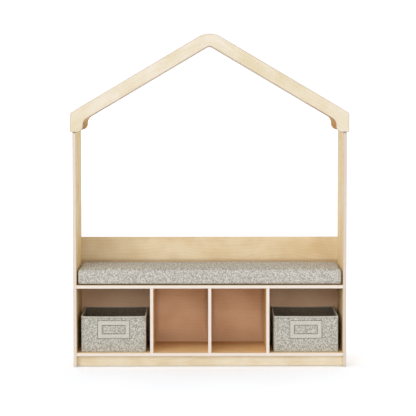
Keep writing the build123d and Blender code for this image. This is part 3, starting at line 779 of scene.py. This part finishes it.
def make_cushion():
    """The cushion's cover: a block puffed by air pressure, held back by its foam, and a little used."""
    low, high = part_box("cushion_cover")
    middle = (low + high) / 2
    half = (high - low) / 2
    piece = rounded_block("seat_cushion", "cushion_cover", CUSHION_SHRINK, CUSHION_VOXEL, "cushion")
    start = [v.co.copy() for v in piece.data.vertices]
    puffed = simulate_pressure(piece, CUSHION_PRESSURE, CUSHION_FRAMES)
    for v, before, after in zip(piece.data.vertices, start, puffed):
        share = Vector((before - middle)[k] / half[k] for k in range(3))
        v.co = settle(before + hold_by_foam(after - before, share), share, low, high)
    piece.data.update()
    smooth = piece.modifiers.new("smooth", "SMOOTH")
    smooth.factor = 0.5
    smooth.iterations = 1
    finer = piece.modifiers.new("finer", "SUBSURF")
    finer.levels = 1
    apply_modifiers(piece)

    # The rear face stays flat behind the zip
    zip_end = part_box("cushion_zip")[1].x
    for v in piece.data.vertices:
        v.co.z = max(v.co.z, low.z + LIFT_OFF_SEAT)
        if v.co.y > high.y - REAR_BAND:
            near_x = smooth_step(abs(v.co.x) - zip_end, *ZIP_FADE_X)
            near_z = smooth_step(abs(v.co.z - middle.z), *ZIP_FADE_Z)
            v.co.y += (high.y - v.co.y) * near_x * near_z
            v.co.y = min(v.co.y, high.y)
    piece.data.shade_smooth()
    dress(piece, "cushion", "cushion_fabric", "cushion_cover")
    return piece


def make_foam():
    """The foam block inside, a little smaller than the cover's shell, with a cut surface."""
    piece = rounded_block("seat_foam", "cushion_foam", FOAM_INSET, 2 * CUSHION_VOXEL, "foam")
    for v in piece.data.vertices:
        v.co += v.normal * noise.noise(v.co * 60.0) * FOAM_CELLS
    piece.data.shade_smooth()
    dress(piece, "cushion", "foam", "cushion_foam")


def seam_route(piece, height, inset):
    """A loop round the cushion's sides at one height, found on its surface."""
    tree = BVHTree.FromObject(piece, bpy.context.evaluated_depsgraph_get())
    low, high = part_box("cushion_cover")
    middle = (low + high) / 2
    size = high - low
    route = []
    for flat, outward in round_rectangle(size.x, size.y, SEAM_CORNER, *SEAM_RUNS):
        out = Vector((outward.x, outward.y, 0))
        origin = Vector((middle.x + flat.x, middle.y + flat.y, height)) + out * 60 * MM
        hit, normal, _, _ = tree.ray_cast(origin, -out)
        if hit:
            route.append((hit - normal * inset, normal))
    return route


def sew_cushion(piece):
    """A seam with a thin welt round the top and the bottom of the side band, and stitches by each."""
    low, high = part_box("cushion_cover")
    seams = (("top", high.z - TOP_WELT_DROP, -1), ("bottom", low.z + BOTTOM_WELT_RISE, 1))
    for name, height, side in seams:
        cord = tube(seam_route(piece, height, WELT_SUNK), WELT_RADIUS)
        dress(new_piece(f"cushion_{name}_welt", *cord, "cushion"), "cushion", "cushion_fabric")
        route = seam_route(piece, height + side * STITCH_FROM_WELT, STITCH_SUNK)
        row = stitch_row(route, *CUSHION_STITCH)
        dress(new_piece(f"cushion_{name}_stitches", *row, "cushion_thread"), "cushion", "cushion_fabric")


# ---------------------------------------------------------------- Bins
BIN_STITCH = (3.2 * MM, 1.3 * MM, 0.32 * MM)
BIN_CORNER = 5.0 * MM
BIN_RUNS = (46, 54)
BIN_ROWS = 26
BIN_FULLNESS = 0.9 * MM
BIN_WAVER = 0.45 * MM
RIM_SAG = 1.3 * MM
RIM_WAVE = 0.8 * MM
REAR_LIFT = 4.0 * MM
CLOTH = 1.2 * MM
CLOTH_PLAY = 0.15 * MM
LINING = 0.8 * MM
FLOOR_RING = 40 * MM
SKIRT = 3 * MM
HEM_DROP = 10.0 * MM
HEM_PROUD = 0.8 * MM
TAPE_DROP = 4.2 * MM
TAPE_PROUD = 1.5 * MM
SEAM_RADIUS = 0.9 * MM
SEAM_ROWS = 30
LABEL_BORDER_X = 20.0 * MM
LABEL_BORDER_Z = 20.8 * MM
LABEL_FULL_X = 1.7 * MM
LABEL_FULL_Z = 2.8 * MM
LABEL_PROFILE = (
    *((0.0, -0.4), (0.0, 0.7), (0.015, 1.15), (0.06, 1.4), (0.25, 1.65), (0.5, 1.75)),
    *((0.75, 1.65), (0.94, 1.4), (0.985, 1.15), (1.0, 0.7), (1.0, -0.4)),
)
LABEL_RUNS = (36, 20)
LABEL_STITCH_PROUD = 1.55 * MM
# How far the dark cords of painted shade stand from the front
SHADE_CORD_PROUD = 0.8 * MM


def rows_between(low, high):
    """Even steps from low to high, one for each row of faces."""
    return [low + (high - low) * k / BIN_ROWS for k in range(BIN_ROWS + 1)]


class BinShape:
    """Where the skin of one bin lies. Its cloth is drawn over boards, so each side is a little full."""

    def __init__(self, side):
        self.body = f"{side}_bin"
        self.low, self.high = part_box(f"{side}_bin_cover")
        self.middle = (self.low + self.high) / 2
        self.size = self.high - self.low
        self.seed = 4.0 if side == "left" else 11.0
        self.lining_low, self.lining_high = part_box(f"{side}_bin_lining")
        self.lining_inset = self.lining_low.x - self.low.x

    def loop(self, inset):
        radius = max(BIN_CORNER - inset, 1.5 * MM)
        return round_rectangle(self.size.x - 2 * inset, self.size.y - 2 * inset, radius, *BIN_RUNS)

    def along(self, flat, outward):
        """Where a place lies along its side, from -1 to 1."""
        if abs(outward.y) > abs(outward.x):
            return flat.x / (self.size.x / 2)
        return flat.y / (self.size.y / 2)

    def place(self, flat, outward, z):
        """The point over a place in the plan, moved by the fullness of the cloth and the sag of the rim."""
        share = (z - self.low.z) / self.size.z
        along = self.along(flat, outward)
        straight = 1 - along**4
        full = BIN_FULLNESS * straight * math.sin(math.pi * min(max(share, 0.0), 1.0)) ** 0.7
        waver = noise.noise(Vector((flat.x * 13 + self.seed, flat.y * 13, z * 17))) * BIN_WAVER * straight
        out = full + waver
        sag = RIM_SAG * (1 - along**2) * smooth_step(share, 0.55, 1.0)
        wave = noise.noise(Vector((flat.x * 9, flat.y * 9 + self.seed, 1.7))) * RIM_WAVE
        wave *= smooth_step(share, 0.6, 1.0)
        to_rear = smooth_step(flat.y, -self.size.y / 2, self.size.y / 2)
        lift = REAR_LIFT * to_rear * smooth_step(share, 0.55, 1.0)
        x = self.middle.x + flat.x + outward.x * out
        y = self.middle.y + flat.y + outward.y * out
        return Vector((x, y, z - sag + wave + lift))

    def ring(self, inset, z):
        return [self.place(flat, outward, z) for flat, outward in self.loop(inset)]

    def front_point(self, x, z, proud):
        """A point on the front skin, at x from the bin's middle."""
        spot = self.place(Vector((x, -self.size.y / 2)), Vector((0, -1)), z)
        spot.y -= proud
        spot.z = z
        return spot

    def sew_on(self, name, points, faces, look, slot, *replaced):
        """Makes a piece of this bin, in place of the CAD nodes named."""
        nodes_replaced = (f"{self.body}_{node}" for node in replaced)
        dress(new_piece(f"{self.body}_{name}", points, faces, look), self.body, slot, *nodes_replaced)


def make_bin_shells(shape):
    """The outer cover, the loose lining and the wrapped base board."""
    # Cover: bottom, outer face, rim, inner face
    low, high = shape.low, shape.high
    heights = rows_between(low.z + SKIRT, high.z)
    rings = [shape.ring(FLOOR_RING, low.z), shape.ring(3 * MM, low.z), shape.ring(0.9 * MM, low.z + 0.9 * MM)]
    rings += [shape.ring(0, z) for z in heights]
    rings += [shape.ring(CLOTH, z) for z in reversed(heights[1:])]
    rings += [shape.ring(CLOTH + 1 * MM, low.z + CLOTH), shape.ring(FLOOR_RING, low.z + CLOTH)]
    shape.sew_on("skin", *loft(rings, cap_first=True, cap_last=True), "bin", "bin_fabric", "cover")

    # Lining: the loose inner cloth, from the rim down and over the floor
    bottom, inset = shape.lining_low.z, shape.lining_inset
    heights = rows_between(bottom, shape.lining_high.z)
    rings = [shape.ring(FLOOR_RING, bottom), shape.ring(inset + 1 * MM, bottom)]
    rings += [shape.ring(inset, z) for z in heights[1:]]
    rings += [shape.ring(inset + LINING, z) for z in reversed(heights[1:])]
    rings += [shape.ring(inset + LINING + 3 * MM, bottom + LINING), shape.ring(FLOOR_RING, bottom + LINING)]
    cloth = loft(rings, cap_first=True, cap_last=True)
    shape.sew_on("inner_cloth", *cloth, "lining", "bin_lining_cloth", "lining")

    # Floor: a thin board wrapped in the lining's cloth, a little full in the middle
    board_low, board_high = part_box(f"{shape.body}_base_board")
    size = board_high - board_low
    centre = (board_low + board_high) / 2
    rings = []
    profile = [(0.9, 0.0), (0.35, 0.0), (0.01, 0.3), (0.0, 0.6), (0.006, 0.92)]
    profile += [(0.98 * s + 0.02, 1.0 + 0.4 * s) for s in (0.0, 0.15, 0.35, 0.55, 0.75, 0.9)]
    for shrink, rise in profile:
        radius = 4 * MM * (1 - shrink) + 0.1 * MM
        loop = round_rectangle(size.x * (1 - shrink), size.y * (1 - shrink), radius, 12, 14)
        z = board_low.z + size.z * rise
        rings.append([Vector((centre.x + flat.x, centre.y + flat.y, z)) for flat, _ in loop])
    board = loft(rings, cap_first=True, cap_last=True)
    shape.sew_on("floor", *board, "lining", "bin_lining_cloth", "base_board")


def make_bin_boards(shape):
    """The four stiffener boards, bowed with the cloth that covers them on both sides."""
    low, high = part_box(f"{shape.body}_stiffeners")
    outer, inner = CLOTH + CLOTH_PLAY, shape.lining_inset - CLOTH_PLAY
    boards = []
    for turn, outward in enumerate((Vector((1, 0)), Vector((0, 1)), Vector((-1, 0)), Vector((0, -1)))):
        tangent = Vector((-outward.y, outward.x))
        reach, half = shape.size.x / 2, shape.size.y / 2 - BIN_CORNER
        if turn % 2:
            reach, half = shape.size.y / 2, shape.size.x / 2 - BIN_CORNER
        steps = rows_between(-half, half)
        rings = []
        for z in rows_between(low.z, high.z):
            ring = [shape.place(outward * (reach - outer) + tangent * s, outward, z) for s in steps]
            back = [shape.place(outward * (reach - inner) + tangent * s, outward, z) for s in reversed(steps)]
            rings.append(ring + back)
        boards.append(loft(rings, cap_first=True, cap_last=True))
    shape.sew_on("boards", *merge(boards), "board", "stiffener_board", "stiffeners")


def make_bin_rim(shape):
    """A stitched hem round the rim, with a paler tape folded over its top."""
    top = shape.high.z
    wall = shape.lining_inset + LINING

    def folded(outer, drop, rise, rounding):
        """A strip folded over the rim, from its outer lower edge to just inside the rim."""
        inner = wall + outer
        section = [(0.1 * MM, -drop), (-outer * 0.9, -drop + 0.4 * MM)]
        section += [(-outer, -drop / 2), (-outer, -rounding)]
        middle, half = (inner - outer) / 2, (inner + outer) / 2
        for step in range(1, 6):
            angle = math.pi * step / 6
            section.append((middle - half * math.cos(angle), -rounding + (rounding + rise) * math.sin(angle)))
        section += [(inner, -rounding), (inner, -rounding - 0.6 * MM)]
        section += [(wall - 0.1 * MM, -rounding - 0.9 * MM)]
        return loft([shape.ring(inset, top + z) for inset, z in section], close=True)

    hem = folded(HEM_PROUD, HEM_DROP, 0.5 * MM, 1.0 * MM)
    shape.sew_on("hem", *hem, "bin", "bin_binding", "rim_binding")
    tape = folded(TAPE_PROUD, TAPE_DROP, 1.2 * MM, 1.2 * MM)
    shape.sew_on("rim_tape", *tape, "binding", "bin_binding")

    route = []
    z = top - HEM_DROP + 1.8 * MM
    for flat, outward in shape.loop(0):
        out = Vector((outward.x, outward.y, 0))
        route.append((shape.place(flat, outward, z) + out * 0.85 * MM, out))
    shape.sew_on("hem_stitches", *stitch_row(route, *BIN_STITCH), "bin_thread", "bin_binding")


def make_bin_corner_seams(shape):
    """A raised seam down each corner of the cover."""
    bottom = shape.low.z + 2.5 * MM
    top = shape.high.z - HEM_DROP + 1 * MM
    seams = []
    for turn in range(4):
        angle = math.radians(45 + 90 * turn)
        out = Vector((math.cos(angle), math.sin(angle), 0))
        across = Vector((-out.y, out.x, 0))
        corner_x = math.copysign(shape.size.x / 2 - BIN_CORNER, out.x)
        corner_y = math.copysign(shape.size.y / 2 - BIN_CORNER, out.y)
        flat = Vector((corner_x, corner_y)) + BIN_CORNER * out.xy
        rings = []
        for k in range(SEAM_ROWS + 1):
            z = bottom + (top - bottom) * k / SEAM_ROWS
            middle = shape.place(flat, out.xy, z) - out * 0.25 * MM
            rings.append(circle(middle, SEAM_RADIUS, out, across, CORD_SIDES))
        seams.append(loft(rings, cap_first=True, cap_last=True))
    shape.sew_on("corner_seams", *merge(seams), "bin", "bin_fabric")


def make_bin_label(shape):
    """A padded frame sewn to the front, with a dark cord outside and round its window: painted shade for the
    frame's shadow lines.
    """
    low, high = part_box(f"{shape.body}_label_frame")
    middle_x = (low.x + high.x) / 2 - shape.middle.x
    middle_z = (low.z + high.z) / 2
    outer_w = high.x - low.x + 2 * LABEL_FULL_X
    outer_h = high.z - low.z + 2 * LABEL_FULL_Z

    def border(share, proud):
        """The loop on the front at a share of the way from the outer edge to the window."""
        width = outer_w - 2 * LABEL_BORDER_X * share
        height = outer_h - 2 * LABEL_BORDER_Z * share
        radius = (3.0 - 1.8 * share) * MM
        route = []
        for flat, _ in round_rectangle(width, height, radius, *LABEL_RUNS):
            spot = shape.front_point(middle_x + flat.x, middle_z + flat.y, proud)
            route.append((spot, Vector((0, -1, 0))))
        return route

    rings = [[spot for spot, _ in border(share, proud * MM)] for share, proud in LABEL_PROFILE]
    shape.sew_on("label_border", *loft(rings, close=True), "label", "label_frame_fabric", "label_frame")

    # Dark cords painted as the frame's shadow lines, with pale stitches by each
    for name, shade_cord, row, radius in (("window", 1.0, 0.84, 1.1 * MM), ("outer", 0.0, 0.16, 1.0 * MM)):
        cord = tube(border(shade_cord, SHADE_CORD_PROUD), radius)
        shape.sew_on(f"label_{name}_edge", *cord, "bin_thread", "label_frame_fabric")
        stitches = stitch_row(border(row, LABEL_STITCH_PROUD), *BIN_STITCH)
        shape.sew_on(f"label_{name}_stitches", *stitches, "label_thread", "label_frame_fabric")


def make_bin(side):
    shape = BinShape(side)
    make_bin_shells(shape)
    make_bin_boards(shape)
    make_bin_rim(shape)
    make_bin_corner_seams(shape)
    make_bin_label(shape)


# ---------------------------------------------------------------- Floor and light
FLOOR_HALF = 60.0
FLOOR_PALE = rgb(244, 246, 250)
FLOOR_DARK = rgb(240, 242, 246)
FLOOR_GLOW_FRONT = 0.24
FLOOR_GLOW_BESIDE = 0.36
SKY_LIGHT = 0.70
SKY_SEEN = 1.05


def make_floor():
    """A pale floor. Seen directly it glows, beside the bench more than before it, where its shade shows."""
    mesh = bpy.data.meshes.new("floor")
    corners = [(x * FLOOR_HALF, y * FLOOR_HALF, 0) for x, y in ((-1, -1), (1, -1), (1, 1), (-1, 1))]
    mesh.from_pydata(corners, [], [(0, 1, 2, 3)])
    floor = bpy.data.objects.new("floor", mesh)
    scene.collection.objects.link(floor)
    g = Graph("pale_floor")
    place, _ = g.place()
    mottle = g.noise(g.combine(*place), 3.0, 3.0)
    colour = g.mix(g.remap(mottle, 0.3, 0.7), FLOOR_DARK, FLOOR_PALE)
    seen = g.add("LightPath").outputs["Is Camera Ray"]
    # The stronger glow beside and behind the bench is painted light that washes out the bench's cast shadow
    # there
    glow = g.remap(place[Y], cad_low.y, 0.0, FLOOR_GLOW_FRONT, FLOOR_GLOW_BESIDE, smooth=True)
    g.shader.inputs["Emission Color"].default_value = (1, 1, 1, 1)
    g.join(g.times(seen, glow), g.shader.inputs["Emission Strength"])
    mesh.materials.append(g.finish(colour, 0.9, 0.0))


def make_world():
    """An even white sky, whiter to the camera than as a light."""
    world = bpy.data.worlds.new("world")
    scene.world = world
    world.use_nodes = True
    tree = world.node_tree
    background = tree.nodes["Background"]
    background.inputs["Color"].default_value = (1, 1, 1, 1)
    path = tree.nodes.new("ShaderNodeLightPath")
    strength = tree.nodes.new("ShaderNodeMapRange")
    strength.inputs["To Min"].default_value = SKY_LIGHT
    strength.inputs["To Max"].default_value = SKY_SEEN
    tree.links.new(path.outputs["Is Camera Ray"], strength.inputs["Value"])
    tree.links.new(strength.outputs[0], background.inputs["Strength"])


def make_sun(name, azimuth, elevation, strength, spread):
    """A soft, even light. Angles are in degrees: azimuth 0 comes from the front, negative from the left."""
    data = bpy.data.lights.new(name, "SUN")
    data.energy = strength
    data.angle = math.radians(spread)
    sun = bpy.data.objects.new(name, data)
    scene.collection.objects.link(sun)
    a, e = math.radians(azimuth), math.radians(elevation)
    source = Vector((math.sin(a) * math.cos(e), -math.cos(a) * math.cos(e), math.sin(e)))
    sun.rotation_mode = "QUATERNION"
    sun.rotation_quaternion = source.to_track_quat("Z", "Y")


make_camera()
sew_cushion(make_cushion())
make_foam()
make_bin("left")
make_bin("right")
make_floor()
make_world()
make_sun("key", azimuth=-29, elevation=23, strength=1.10, spread=40)
make_sun("fill", azimuth=6, elevation=4, strength=0.78, spread=30)
make_sun("rear", azimuth=176, elevation=12, strength=0.55, spread=60)
scene.view_settings.view_transform = "Standard"
